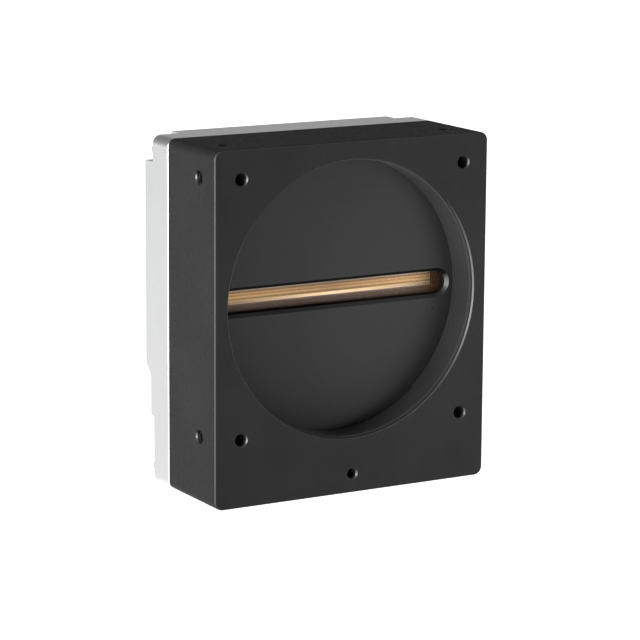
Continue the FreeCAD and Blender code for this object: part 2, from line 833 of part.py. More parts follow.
def heat_spreader():
    """The plate that draws heat from the sensor, its pad, and the spacers and screws that hold it."""
    pad = ("spreader_bar_length", "sensor_pad_thickness", "spreader_bar_height")
    block("sensor_pad", "0", PACKAGE_BACK, "sensor_rise", pad)
    body = new_body("heat_spreader")
    plan = facing_sketch(body, "spreader_plan", SPREADER_FRONT)
    box_outline(plan, "0", "sensor_rise", "spreader_width", "spreader_height")
    for across, up in spreader_screw_places():
        circle(plan, across, up, "fine_clear_radius")
    pad_back(body, plan, "spreader_thickness")
    bar_front = f"({PACKAGE_BACK} + sensor_pad_thickness)"
    bar = facing_sketch(body, "spreader_bar", bar_front)
    box_outline(bar, "0", "sensor_rise", "spreader_bar_length", "spreader_bar_height")
    pad_back(body, bar, f"({SPREADER_FRONT} - {bar_front})")
    spacers = new_body("spreader_spacers")
    rings = facing_sketch(spacers, "spacer_plan", SENSOR_BOARD_BACK)
    for across, up in spreader_screw_places():
        circle(rings, across, up, "spacer_radius")
        circle(rings, across, up, "fine_clear_radius")
    pad_back(spacers, rings, "spacer_length")
    screws(
        "spreader_screws",
        "spreader_screw_pitch_across / 2",
        "sensor_rise - spreader_screw_pitch_up / 2",
        "spreader_screw_pitch_up",
        SPREADER_BACK,
        "spreader_screw_length",
        "fine",
    )


# --- processor board ---


def stacking_connectors():
    for name, side in (("upper", "1"), ("lower", "-1")):
        up = f"{side} * stack_rise"
        board_socket(f"{name}_stack_socket", "stack", up, SENSOR_BOARD_BACK, "stack_socket_height")
        board_plug(f"{name}_stack_plug", "stack", up, STACK_FACE, f"({PROCESSOR_FRONT} - {STACK_FACE})")


def board_standoffs():
    """Hexagonal pillars from the front block to the processor board, with a stud on one end."""
    body = new_body("board_standoffs")
    low = "-1 * standoff_low_drop"
    plan = facing_sketch(body, "standoff_plan", "front_wall")
    hexagon(plan, "standoff_across", low, "standoff_width")
    pad_back(body, plan, "standoff_length")
    stud = facing_sketch(body, "stud_plan", "front_wall")
    circle(stud, "standoff_across", low, "coarse_core_radius - thread_play")
    extrude(body, "Pad", stud, "standoff_stud_length", False)
    hole = facing_sketch(body, "standoff_hole_plan", PROCESSOR_FRONT)
    circle(hole, "standoff_across", low, "coarse_core_radius")
    drill(body, "standoff_hole", hole, "coarse_core_radius", "standoff_hole_depth", reverse=True)
    repeat(body, "standoff_rows", "Z_Axis", "standoff_low_drop + standoff_top_rise")
    mirror(body, "standoff_mirror", "YZ_Plane")


def processor_board():
    holes = [(*spot, "coarse_clear_radius") for spot in standoff_places()]
    width, low = "processor_board_width", "-1 * processor_board_drop"
    circuit_board("processor_board", PROCESSOR_FRONT, width, low, "processor_board_top", holes)
    screws(
        "processor_board_screws",
        "standoff_across",
        "-1 * standoff_low_drop",
        "standoff_low_drop + standoff_top_rise",
        PROCESSOR_BACK,
        "processor_screw_length",
        "coarse",
    )


def processor_parts():
    """The processor with its heat pad, the memory chips and the supply's coils and capacitors."""
    chip = ("processor_size", "processor_height", "processor_size")
    block("processor_chip", "0", PROCESSOR_BACK, "processor_rise", chip)
    pad = ("processor_pad_size", "processor_pad_thickness", "processor_pad_size")
    block("processor_pad", "0", f"{PROCESSOR_BACK} + processor_height", "processor_rise", pad)
    memory = ("memory_width", "memory_height", "memory_length")
    for index in range(4):
        across = f"{1 if index % 2 else -1} * memory_across"
        up = f"processor_rise + {1 if index < 2 else -1} * memory_pitch / 2"
        block(f"memory_chip_{index + 1}", across, PROCESSOR_BACK, up, memory)
    coil = ("inductor_size", "inductor_height", "inductor_size")
    for index in range(3):
        across = f"inductor_first + {index} * inductor_pitch"
        block(f"power_inductor_{index + 1}", across, PROCESSOR_BACK, "supply_rise", coil)
    body = new_body("supply_capacitors")
    plan = facing_sketch(body, "capacitor_plan", PROCESSOR_BACK)
    for index in range(6):
        across = f"capacitor_first + {index} * capacitor_pitch"
        box_outline(plan, across, "supply_rise", "capacitor_width", "capacitor_length")
    pad_back(body, plan, "capacitor_height")


# --- interface board and its sockets ---


def interface_board():
    board_socket("link_socket", "link", "-1 * link_drop", PROCESSOR_BACK, "link_socket_height")
    board_plug("link_plug", "link", "-1 * link_drop", LINK_FACE, "link_plug_height")
    tail = "(coax_contact_radius + tail_play)"
    holes = [(*spot, "fine_clear_radius") for spot in interface_screw_places()]
    holes += [(across, "-1 * connector_drop", tail) for across in COAX_PLACES]
    low, high = "-1 * interface_board_low_drop", "-1 * interface_board_top_drop"
    circuit_board("interface_board", INTERFACE_FRONT, "interface_board_width", low, high, holes)
    screws(
        "interface_board_screws",
        "interface_screw_pitch_across / 2",
        "-1 * interface_screw_low_drop",
        "interface_screw_low_drop - interface_screw_top_drop",
        INTERFACE_FRONT,
        "interface_screw_length",
        "fine",
        towards_front=False,
    )
    body = new_body("line_drivers")
    plan = facing_sketch(body, "driver_plan", f"{INTERFACE_FRONT} - driver_height")
    for across in COAX_PLACES:
        box_outline(plan, across, "-1 * driver_drop", "driver_size", "driver_size")
    pad_back(body, plan, "driver_height")


def power_pin_places():
    """Nine pins on an outer ring and three on an inner one, from the socket's own axis."""
    rings = [("power_outer_ring", angle) for angle in range(0, 360, 40)]
    rings += [("power_inner_ring", angle) for angle in range(30, 390, 120)]
    return [(f"{radius} * cos({angle})", f"{radius} * sin({angle})") for radius, angle in rings]


def coaxial_sockets():
    """Four small bayonet sockets: shell, insulator and centre contact each, with a nut on the panel."""
    up = "-1 * connector_drop"
    for index, across in enumerate(COAX_PLACES, 1):
        coax_shell(f"coax_shell_{index}", across, up)
        bore = "(coax_contact_radius + contact_play)"
        reach = "coax_insulator_length"
        tube(f"coax_insulator_{index}", bore, "coax_insulator_radius", "0", reach, across, up)
        tail, tip = "-1 * contact_tail", "coax_contact_length"
        inner, step = "coax_contact_bore_radius", "coax_contact_length - coax_contact_bore_depth"
        outer = "coax_contact_radius"
        corners = [("0", tail), (outer, tail), (outer, tip), (inner, tip), (inner, step), ("0", step)]
        turned(f"coax_contact_{index}", corners, across, up)
    nuts = new_body("coax_nuts")
    plan = facing_sketch(nuts, "coax_nut_plan", "low_depth")
    for across in COAX_PLACES:
        hexagon(plan, across, up, "coax_nut_width")
        circle(plan, across, up, "coax_radius + contact_play")
    pad_back(nuts, plan, "coax_nut_height")


def coax_shell(label, across, up):
    core, bore, outer = "coax_core_radius", "coax_bore_radius", "coax_radius"
    floor, chamfer = "coax_length - coax_bore_depth", "coax_mouth_chamfer"
    corners = [(core, "0"), (outer, "0"), (outer, f"coax_length - {chamfer}")]
    corners += [(f"{outer} - {chamfer}", "coax_length"), (bore, "coax_length"), (bore, floor), (core, floor)]
    body = turned(label, corners, across, up)
    base = facing_sketch(body, f"{label}_base", "0")
    box_outline(base, "0", "0", "coax_base_size", "coax_base_size")
    circle(base, "0", "0", core)
    pad_back(body, base, "coax_base_height")
    lug = sketch_on(body, f"{label}_lug", "YZ_Plane", "coax_radius - coax_lug_height")
    circle(lug, "coax_length - coax_lug_setback", "0", "coax_lug_radius")
    stud = extrude(body, "Pad", lug, "2 * coax_lug_height", False)
    mirror(body, f"{label}_lugs", "YZ_Plane", stud)


def power_socket():
    """The round socket for power and signals: shell, insulator, pins and a slotted ring nut."""
    across, up = "power_across", "-1 * connector_drop"
    shell = tube("power_shell", "power_bore_radius", "power_radius", "0", "power_length", across, up)
    base = facing_sketch(shell, "power_base", "0")
    box_outline(base, "0", "0", "power_base_size", "power_base_size")
    circle(base, "0", "0", "power_bore_radius")
    pad_back(shell, base, "coax_base_height")
    key = facing_sketch(shell, "power_key", "power_insulator_length")
    foot, head = "(power_bore_radius - power_key_height)", "(power_bore_radius + power_radius) / 2"
    box_outline(key, "0", f"({foot} + {head}) / 2", "power_key_width", f"({head} - {foot})")
    pad_back(shell, key, "power_length - power_insulator_length")

    insulator = new_body("power_insulator")
    plan = facing_sketch(insulator, "power_insulator_plan", "0")
    circle(plan, "0", "0", "power_bore_radius - power_insulator_play")
    for pin_across, pin_up in power_pin_places():
        circle(plan, pin_across, pin_up, "power_pin_radius + contact_play")
    pad_back(insulator, plan, "power_insulator_length")
    place(insulator, across, INTERFACE_BACK, up)

    pins = new_body("power_pins")
    plan = facing_sketch(pins, "power_pin_plan", "0")
    for pin_across, pin_up in power_pin_places():
        circle(plan, pin_across, pin_up, "power_pin_radius")
    pad_back(pins, plan, "power_pin_length")
    place(pins, across, INTERFACE_BACK, up)

    near = f"(low_depth - {INTERFACE_BACK})"
    inner, far = "(power_radius + contact_play)", f"({near} + power_nut_height)"
    nut = tube("power_nut", inner, "power_nut_radius", near, far, across, up)
    slots = facing_sketch(nut, "power_nut_slots", far)
    box_outline(slots, "0", "0", "power_nut_slot_width", "3 * power_nut_radius")
    cut_front(nut, slots, "power_nut_slot_depth")


def status_light():
    """A lamp on the interface board and the clear pipe that brings its light to the panel."""
    up = "-1 * connector_drop"
    block("status_lamp", "light_across", INTERFACE_BACK, up, ("lamp_length", "lamp_height", "lamp_width"))
    near = f"({PANEL_FRONT} - light_flange_height - {INTERFACE_BACK})"
    step = f"({PANEL_FRONT} - {INTERFACE_BACK})"
    far = f"(low_depth + light_stand_out - {INTERFACE_BACK})"
    corners = [("0", near), ("light_flange_radius", near), ("light_flange_radius", step)]
    corners += [("light_radius", step), ("light_radius", far), ("0", far)]
    turned("light_pipe", corners, "light_across", up)


# --- rear shell ---


def rear_shell():
    body = new_body("rear_shell")
    plan = facing_sketch(body, "shell_plan", "block_depth")
    box_outline(plan, "0", f"({TOP} + {BOTTOM}) / 2", "body_width", "body_height")
    pad_back(body, plan, "(low_depth - block_depth)")
    raised_back(body)
    solid = cut_platforms(body)
    solid = dress(body, "Fillet", solid, "corner_radius", at_outline_corner)
    front_level = value("block_depth")
    dress(body, "Chamfer", solid, "shell_edge", lambda edge: on_outline(edge, front_level))
    shell_hollow(body)
    shell_bosses(body)
    panel_holes(body)
    cooling_grooves(body)


def raised_back(body):
    """The stepped back: a middle level low down, then a slope up to the full depth."""
    side = sketch_on(body, "back_profile", "YZ_Plane", f"-1 * {RIGHT}")
    low, middle, high = "low_depth", "middle_depth", "overall_depth"
    corners = [(low, "-1 * middle_bottom_drop"), (middle, "-1 * middle_bottom_drop")]
    corners += [(middle, "-1 * slant_low_drop"), (high, "-1 * slant_high_drop"), (high, TOP), (low, TOP)]
    outline(side, corners)
    extrude(body, "Pad", side, "body_width", False)


def cut_platforms(body):
    """Two low platforms at the top corners, where the upper screws sit."""
    plan = facing_sketch(body, "platform_plan", "low_depth")
    for side in (-1, 1):
        across = f"{side} * ({RIGHT} - platform_width / 2)"
        box_outline(plan, across, f"{TOP} - platform_height / 2", "platform_width", "platform_height")
    return cut_back(body, plan, "(overall_depth - low_depth)")


def shell_hollow(body):
    """The inside, in three depths that follow the stepped back, and the processor's pedestal."""
    plan = facing_sketch(body, "shell_hollow_plan", "block_depth")
    hollow_outline(plan, "shell_wall", "shell_wall")
    hollow = cut_back(body, plan, f"({PANEL_FRONT} - block_depth)")

    def at_hollow_corner(edge):
        box = edge.BoundBox
        return is_corner_post(edge) and abs(box.YMax - value(PANEL_FRONT)) < 1e-3

    dress(body, "Fillet", hollow, "lug_radius", at_hollow_corner)
    width = "(body_width - 2 * shell_wall)"
    top = f"({TOP} - platform_height - shell_wall)"
    for name, level, bottom in (
        ("middle_hollow", MIDDLE_FRONT, "(panel_thickness - middle_bottom_drop)"),
        ("back_hollow", BACK_FRONT, "(shell_wall / 2 - slant_high_drop)"),
    ):
        deeper = facing_sketch(body, name, PANEL_FRONT)
        box_outline(deeper, "0", f"({top} + {bottom}) / 2", width, f"({top} - {bottom})")
        cut_back(body, deeper, f"({level} - {PANEL_FRONT})")
    pedestal = facing_sketch(body, "pedestal_plan", PAD_BACK)
    box_outline(pedestal, "0", "processor_rise", "pedestal_size", "pedestal_size")
    pad_back(body, pedestal, f"({BACK_FRONT} - {PAD_BACK})")


def shell_bosses(body):
    """The bosses of the interface board, and the clearance holes of the shell screws."""
    plan = facing_sketch(body, "interface_boss_plan", INTERFACE_BACK)
    for across, up in interface_screw_places():
        circle(plan, across, up, "interface_boss_radius")
    pad_back(body, plan, f"({MIDDLE_FRONT} - {INTERFACE_BACK})")
    holes = facing_sketch(body, "interface_hole_plan", INTERFACE_BACK)
    for across, up in interface_screw_places():
        circle(holes, across, up, "fine_core_radius")
    drill(body, "interface_holes", holes, "fine_core_radius", "interface_hole_depth")
    through = facing_sketch(body, "shell_screw_plan", "block_depth")
    for across, up in shell_screw_places():
        circle(through, across, up, "coarse_clear_radius")
    cut_back(body, through, "(low_depth - block_depth)")


def panel_holes(body):
    plan = facing_sketch(body, "panel_hole_plan", PANEL_FRONT)
    up = "-1 * connector_drop"
    for across in COAX_PLACES:
        circle(plan, across, up, "coax_radius + panel_hole_play")
    circle(plan, "power_across", up, "power_radius + panel_hole_play")
    circle(plan, "light_across", up, "light_radius + panel_hole_play")
    cut_back(body, plan, "panel_thickness")


def cooling_grooves(body):
    """Upright grooves with round ends, spread evenly over the raised back."""
    plan = facing_sketch(body, "groove_plan", "overall_depth")
    first = "(1 - groove_count) * groove_pitch / 2"
    middle = f"(({TOP} - platform_height) - slant_high_drop) / 2"
    reach = "(groove_length - groove_width) / 2"
    ends = [(first, f"{middle} - {reach}"), (first, f"{middle} + {reach}")]
    stadium(plan, ends, "groove_width / 2")
    groove = cut_front(body, plan, "groove_depth")
    pattern = body.newObject("PartDesign::LinearPattern", "grooves")
    pattern.Originals = [groove]
    pattern.Direction = (origin_part(body, "X_Axis"), [""])
    bind(pattern, "Length", "(groove_count - 1) * groove_pitch")
    bind(pattern, "Occurrences", "groove_count")
    body.Tip = pattern


def shell_screws():
    screws(
        "shell_screws",
        SCREW_ACROSS,
        SCREW_LOW,
        f"{SCREW_TOP} - {SCREW_LOW}",
        "low_depth",
        "shell_screw_length",
        "coarse",
        drive=True,
    )


# --- building and writing ---


def check_document():
    """Stops at the first object that failed or has no valid shape."""
    for item in doc.Objects:
        if "Invalid" in item.State or "Error" in item.State:
            raise RuntimeError(f"{item.Label} failed: {item.State}")
    for node in nodes:
        if node.Shape.isNull() or not node.Shape.isValid() or not node.Shape.Solids:
            raise RuntimeError(f"{node.Label} has no valid solid")


def write_parts():
    os.makedirs("parts", exist_ok=True)
    for node in nodes:
        node.Shape.exportStep(f"parts/{node.Label}.step")


sheet = write_sheet()
front_housing()
sensor_seal()
sensor_window()
sensor_package()
sensor_die()
sensor_board()
heat_spreader()
stacking_connectors()
board_standoffs()
processor_board()
processor_parts()
interface_board()
coaxial_sockets()
power_socket()
status_light()
rear_shell()
shell_screws()
doc.recompute()
check_document()
write_parts()
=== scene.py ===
"""Dresses a line scan camera: machined and anodised finishes, cut threads, the sensor and a studio."""
import json
import math

import bmesh
import bpy
from bpy.props import FloatProperty, FloatVectorProperty, IntProperty, PointerProperty
from mathutils import Matrix, Vector


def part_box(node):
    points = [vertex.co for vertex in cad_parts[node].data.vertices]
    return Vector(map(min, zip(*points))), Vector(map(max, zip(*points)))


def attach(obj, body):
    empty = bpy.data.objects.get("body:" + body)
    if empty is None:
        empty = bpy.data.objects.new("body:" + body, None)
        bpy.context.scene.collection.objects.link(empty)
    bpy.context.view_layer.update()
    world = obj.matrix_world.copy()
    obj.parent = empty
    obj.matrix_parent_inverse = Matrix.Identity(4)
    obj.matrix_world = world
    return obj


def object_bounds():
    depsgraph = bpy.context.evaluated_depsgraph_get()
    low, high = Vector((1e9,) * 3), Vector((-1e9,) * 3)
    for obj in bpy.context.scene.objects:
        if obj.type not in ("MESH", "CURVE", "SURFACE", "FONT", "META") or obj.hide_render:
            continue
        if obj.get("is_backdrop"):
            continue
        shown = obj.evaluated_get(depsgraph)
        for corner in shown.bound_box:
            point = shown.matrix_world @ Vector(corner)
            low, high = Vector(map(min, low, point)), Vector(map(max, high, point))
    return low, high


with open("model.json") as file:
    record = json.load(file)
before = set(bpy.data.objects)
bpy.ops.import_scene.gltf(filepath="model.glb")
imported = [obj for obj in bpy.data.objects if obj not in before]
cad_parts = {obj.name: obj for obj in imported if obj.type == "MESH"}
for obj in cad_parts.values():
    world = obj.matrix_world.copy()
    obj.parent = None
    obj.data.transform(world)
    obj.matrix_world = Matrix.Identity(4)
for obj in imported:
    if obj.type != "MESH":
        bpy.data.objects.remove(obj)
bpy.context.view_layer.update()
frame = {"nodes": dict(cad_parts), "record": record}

bl_info = {
    "name": "Line scan camera finishes",
    "version": (1, 0, 0),
    "blender": (4, 5, 0),
    "location": "3D View > Sidebar > Camera finishes",
    "description": "Finishes, threads and studio for a line scan camera",
    "category": "Object",
}

SLOT_OF_NODE = {row["node"]: row["material_slot"] for row in frame["record"]["subparts"]}

# Mounting holes, in metres from the lens axis and the front face.
HOLE_START = 0.0007
CORNER_HOLE_ACROSS, TOP_HOLE_ACROSS, HOLE_UP = 0.04275, 0.0426, 0.0435
SIDE_HOLE_DEEP = 0.011
LOWER_HOLE = (0.0, 0.0, -0.0601)
CORNER_HOLE_LENGTH, SIDE_HOLE_LENGTH, LOWER_HOLE_LENGTH = 0.0085, 0.0066, 0.0076

# The radius and pitch of a mounting hole's thread.
COARSE_THREAD = (0.0021, 0.0008)
FINE_THREAD = (0.0017, 0.0007)

# The thread pieces reach this far into the wall that they stand on.
LENS_THREAD_SUNK, HOLE_THREAD_SUNK = 5e-5, 2e-5

SAME_POINT = 1e-7
SHARP_ANGLE = math.radians(40.0)

# Where the bore's floor is taken to begin, behind the front face.
FLOOR_FROM, FLOOR_TO = 0.008, 0.010

# Each light's place and size.
STRIP_LIGHT = ((-1.25, -0.24, 0.17), (0.42, 0.42))
FILL_LIGHT = ((0.14, -0.17, -0.034), (0.12, 0.055))

FLOOR_RADIUS, FLOOR_GAP = 6.0, 1e-4


def length(name, description, default):
    return FloatProperty(name=name, description=description, default=default, unit="LENGTH", precision=5)


def colour(name, description, default):
    return FloatVectorProperty(
        name=name, description=description, default=default, subtype="COLOR", size=3, min=0.0, max=1.0
    )


def share(name, description, default):
    return FloatProperty(
        name=name, description=description, default=default, min=0.0, max=1.0, subtype="FACTOR"
    )


def brightness(name, description, default):
    return FloatProperty(name=name, description=description, default=default, min=0.0)


def angle(name, description, degrees):
    return FloatProperty(name=name, description=description, default=math.radians(degrees), subtype="ANGLE")


class ThreadSizes(bpy.types.PropertyGroup):
    """Sizes of the cut threads."""

    bore_radius: length("Bore radius", "Radius of the plain lens bore", 0.0475)
    crest_radius: length("Crest radius", "Radius across the lens thread's crests", 0.04696)
    lens_pitch: length("Lens thread pitch", "Distance from one lens thread to the next", 0.001)
    lens_start: length("Lens thread start", "Where the lens thread starts behind the front face", 0.00115)
    lens_end: length("Lens thread end", "Where the lens thread ends behind the front face", 0.0127)
    lens_steps: IntProperty(name="Lens thread steps", description="Steps in one turn", default=192, min=24)
    hole_ridge: length("Hole thread height", "How far a hole's thread stands in from its wall", 0.00022)
    hole_steps: IntProperty(name="Hole thread steps", description="Steps in one turn", default=24, min=12)


class FinishColours(bpy.types.PropertyGroup):
    """Colours of the main finishes."""

    black: colour("Black anodising", "Front block", (0.0148, 0.0148, 0.015))
    silver: colour("Clear anodising", "Rear shell", (0.475, 0.478, 0.481))
    black_roughness: share("Black roughness", "Roughness of the front block", 0.66)
    black_gloss: share("Black gloss", "How strongly the front block reflects", 0.09)
    worn: colour("Worn edge", "Where the black anodising thins along edges", (0.13, 0.13, 0.132))
    silver_roughness: share("Silver roughness", "Roughness of the rear shell", 0.31)
    ceramic: colour("Package", "Ceramic round the sensor", (0.030, 0.020, 0.015))


class StudioSettings(bpy.types.PropertyGroup):
    """Camera and lights."""

    azimuth: angle("Azimuth", "Camera to the left of straight ahead", -30.079)
    elevation: angle("Elevation", "Camera above level", 11.430)
    roll: angle("Roll", "Turn of the picture", 0.383)
    distance: length("Distance", "From the camera to its target", 0.97568)
    lens: FloatProperty(name="Lens", description="Focal length in millimetres", default=163.853, min=1.0)
    target_right: length("Target right", "Target to the right of the body's middle", -0.011185)
    target_up: length("Target up", "Target above the body's middle", -0.000336)
    floor_glow: brightness("Floor glow", "Light that the floor gives", 1.2)
    sky_low: brightness("Sky at the horizon", "Brightness near level", 0.74)
    sky_ahead: share("Sky in front", "Brightness in front of the object against that behind it", 0.35)
    sky_high: brightness("Sky overhead", "Brightness straight above", 0.03)
    strip_radiance: brightness("Strip light", "Brightness of the light at the left", 44.0)
    fill_radiance: brightness("Fill light", "Brightness of the light at the right", 12.5)


# ---- materials ----


def shader(name):
    """A new material with its node tree and its main shader."""
    material = bpy.data.materials.new(name)
    material.use_nodes = True
    return material, material.node_tree, material.node_tree.nodes["Principled BSDF"]


def add(tree, kind, inputs=None, **settings):
    """A node with its settings and inputs. An input is a value, or the socket that it is linked from."""
    made = tree.nodes.new(kind)
    for key, value in settings.items():
        setattr(made, key, value)
    for key, value in (inputs or {}).items():
        if isinstance(value, bpy.types.NodeSocket):
            tree.links.new(value, made.inputs[key])
        else:
            made.inputs[key].default_value = value
    return made


def place(tree):
    """The point on the piece, in metres."""
    return add(tree, "ShaderNodeTexCoord").outputs["Object"]


def grain(tree, scale, detail=2.0, stretch=None):
    """Noise in metres on the piece, drawn out where stretch gives a scale for each direction."""
    where = place(tree)
    if stretch:
        where = add(tree, "ShaderNodeMapping", {"Vector": where, "Scale": stretch}).outputs["Vector"]
    return add(tree, "ShaderNodeTexNoise", {"Vector": where, "Scale": scale, "Detail": detail}).outputs["Fac"]


def between(tree, fac, low, high, start=0.3, end=0.7):
    """Maps a value from start and end to low and high, and holds it there beyond them."""
    inputs = {"Value": fac, "From Min": start, "From Max": end, "To Min": low, "To Max": high}
    return add(tree, "ShaderNodeMapRange", inputs).outputs["Result"]


def shades(tree, fac, stops):
    """A colour ramp through (place, colour) stops."""
    ramp = add(tree, "ShaderNodeValToRGB", {"Fac": fac})
    elements = ramp.color_ramp.elements
    while len(elements) < len(stops):
        elements.new(0.5)
    for element, (spot, tint) in zip(elements, stops):
        element.position = spot
        element.color = (*tint, 1.0)
    return ramp.outputs["Color"]


def tinted(base, factor):
    """A fixed colour times a number, held at full brightness."""
    return tuple(min(1.0, part * factor) for part in base)


def parts_of(tree, vector):
    """The X, Y and Z sockets of a vector."""
    return add(tree, "ShaderNodeSeparateXYZ", {"Vector": vector}).outputs


def size_of(tree, value):
    """A value without its sign."""
    return add(tree, "ShaderNodeMath", {0: value}, operation="ABSOLUTE").outputs["Value"]


def broken_edges(tree):
    """Masks for the bore's floor, which gets painted light, the slot's edges that face down, which get
    painted shade, and the other broken edges.
    """
    facing = parts_of(tree, add(tree, "ShaderNodeNewGeometry").outputs["Normal"])
    lean = size_of(tree, facing["Y"])
    off_side = between(tree, lean, 0.0, 1.0, 0.10, 0.30)
    off_front = between(tree, lean, 1.0, 0.0, 0.90, 0.985)
    askew = times(tree, off_side, off_front)
    deep = between(tree, parts_of(tree, place(tree))["Y"], 0.0, 1.0, FLOOR_FROM, FLOOR_TO)
    facing_down = between(tree, facing["Z"], 1.0, 0.0, -0.50, -0.20)
    # Mask for painted shade: broken edges deep in the block that face down.
    painted_shade_under = times(tree, times(tree, askew, deep), facing_down)
    low_share = between(tree, deep, 0.8, 0.2, 0.0, 1.0)
    not_down = between(tree, facing["Z"], 0.0, 1.0, -0.45, -0.15)
    not_up = between(tree, facing["Z"], 1.0, low_share, 0.25, 0.60)
    on_cone = add(
        tree, "ShaderNodeMath", {0: lean, 1: math.sqrt(0.5), 2: 0.03}, operation="COMPARE"
    ).outputs["Value"]
    handled = times(tree, times(tree, not_down, not_up), between(tree, on_cone, 0.45, 1.0, 0.0, 1.0))
    # Mask for painted light: the bore's floor, which is painted twice as light as the rest of the block.
    painted_light_floor = times(tree, deep, between(tree, lean, 0.0, 1.0, 0.985, 0.995))
    return painted_light_floor, painted_shade_under, times(tree, askew, handled)


def times(tree, first, second):
    """The product of two values."""
    return add(tree, "ShaderNodeMath", {0: first, 1: second}, operation="MULTIPLY").outputs["Value"]


def scaled(tree, tint, factor):
    """A colour times a value."""
    made = add(tree, "ShaderNodeVectorMath", {0: tint}, operation="SCALE")
    tree.links.new(factor, made.inputs["Scale"])
    return made.outputs["Vector"]


def blend(tree, fac, first, second):
    """A mix of two colours, each a socket or a fixed colour."""
    mixed = add(tree, "ShaderNodeMix", data_type="RGBA")
    tree.links.new(fac, mixed.inputs[0])
    for spot, source in ((6, first), (7, second)):
        if isinstance(source, bpy.types.NodeSocket):
            tree.links.new(source, mixed.inputs[spot])
        else:
            mixed.inputs[spot].default_value = (*source, 1.0)
    return mixed.outputs[2]


def relief(tree, bsdf, height, distance, strength=1.0, under=None):
    """Bumps the surface by a height, on top of the bump under it where there is one."""
    inputs = {"Height": height, "Distance": distance, "Strength": strength}
    if under:
        inputs["Normal"] = under
    bump = add(tree, "ShaderNodeBump", inputs).outputs["Normal"]
    tree.links.new(bump, bsdf.inputs["Normal"])


def surface(
    name, base, roughness, metallic=0.0, spread=0.10, patch=60.0, fine=4200.0, depth=4e-6, rough_by=0.05
):
    """A finish with slight patches in its colour and roughness and a fine grain in its surface."""
    material, tree, bsdf = shader(name)
    bsdf.inputs["Metallic"].default_value = metallic
    clouds = grain(tree, patch, 3.0)
    tone = shades(tree, clouds, [(0.3, tinted(base, 1.0 - spread)), (0.7, tinted(base, 1.0 + spread))])
    tree.links.new(tone, bsdf.inputs["Base Color"])
    speck = grain(tree, patch * 14.0)
    tree.links.new(between(tree, speck, roughness - rough_by, roughness + rough_by), bsdf.inputs["Roughness"])
    relief(tree, bsdf, grain(tree, fine, 3.0), depth)
    return material, tree, bsdf


def turned_metal(name, base, roughness):
    """Lathe-cut metal with fine rings along its axis, which runs front to back."""
    material, tree, bsdf = surface(name, base, roughness, 1.0, spread=0.05, depth=1.5e-6)
    rings = add(
        tree, "ShaderNodeTexWave", {"Vector": place(tree), "Scale": 1500.0, "Distortion": 0.6},
        wave_type="BANDS", bands_direction="Y",
    ).outputs["Fac"]
    under = bsdf.inputs["Normal"].links[0].from_socket
    relief(tree, bsdf, rings, 1.2e-6, under=under)
    return material


def black_anodising(name, roughness, lift=1.0, gloss=None, worn_edges=False, depth=5e-6):
    """Black anodised aluminium; where asked, painted light on the bore's floor, painted shade on the edges
    that face down deep in the block, and worn edges.
    """
    colours = bpy.context.scene.camera_colours
    material, tree, bsdf = surface(name, tinted(colours.black, lift), roughness, patch=45.0, depth=depth)
    bsdf.inputs["Specular IOR Level"].default_value = colours.black_gloss if gloss is None else gloss
    if worn_edges:
        painted_light_floor, painted_shade_under, worn = broken_edges(tree)
        tone = bsdf.inputs["Base Color"].links[0].from_socket
        # Painted light: the bore's floor is twice as light as the rest of the block.
        tone = blend(tree, painted_light_floor, tone, tinted(colours.black, 2.0))
        # Painted shade: edges deep in the block that face down are a fifth as light as the black.
        tone = blend(tree, painted_shade_under, tone, tinted(colours.black, 0.2))
        tree.links.new(blend(tree, worn, tone, tuple(colours.worn)), bsdf.inputs["Base Color"])
        matt = bsdf.inputs["Roughness"].links[0].from_socket
        rubbed = add(
            tree, "ShaderNodeMath", {0: worn, 1: -0.2, 2: matt}, operation="MULTIPLY_ADD"
        ).outputs["Value"]
        tree.links.new(rubbed, bsdf.inputs["Roughness"])
        tree.links.new(worn, bsdf.inputs["Metallic"])
    return material


def clear_anodising():
    """Bead-blasted aluminium under a clear anodic layer."""
    colours = bpy.context.scene.camera_colours
    material, tree, bsdf = surface(
        "shell_aluminium", colours.silver, colours.silver_roughness, 1.0,
        spread=0.012, patch=140.0, fine=3600.0, depth=1.2e-6, rough_by=0.04,
    )
    _, _, edges = broken_edges(tree)
    tone = bsdf.inputs["Base Color"].links[0].from_socket
    tree.links.new(blend(tree, edges, tone, (0.97, 0.97, 0.97)), bsdf.inputs["Base Color"])
    pits = add(
        tree, "ShaderNodeTexVoronoi", {"Vector": place(tree), "Scale": 5200.0}, feature="SMOOTH_F1"
    ).outputs["Distance"]
    under = bsdf.inputs["Normal"].links[0].from_socket
    relief(tree, bsdf, pits, 8e-7, 0.7, under)
    return material


def solder_mask():
    """Green solder mask over copper lines."""
    material, tree, bsdf = surface("circuit_board", (0.012, 0.11, 0.05), 0.32, spread=0.12, depth=1e-6)
    tracks = add(
        tree, "ShaderNodeTexBrick",
        {"Vector": place(tree), "Scale": 900.0, "Mortar Size": 0.035, "Color1": (0.010, 0.095, 0.042, 1),
         "Color2": (0.013, 0.118, 0.055, 1), "Mortar": (0.03, 0.20, 0.08, 1)},
    )
    tree.links.new(tracks.outputs["Color"], bsdf.inputs["Base Color"])
    return material


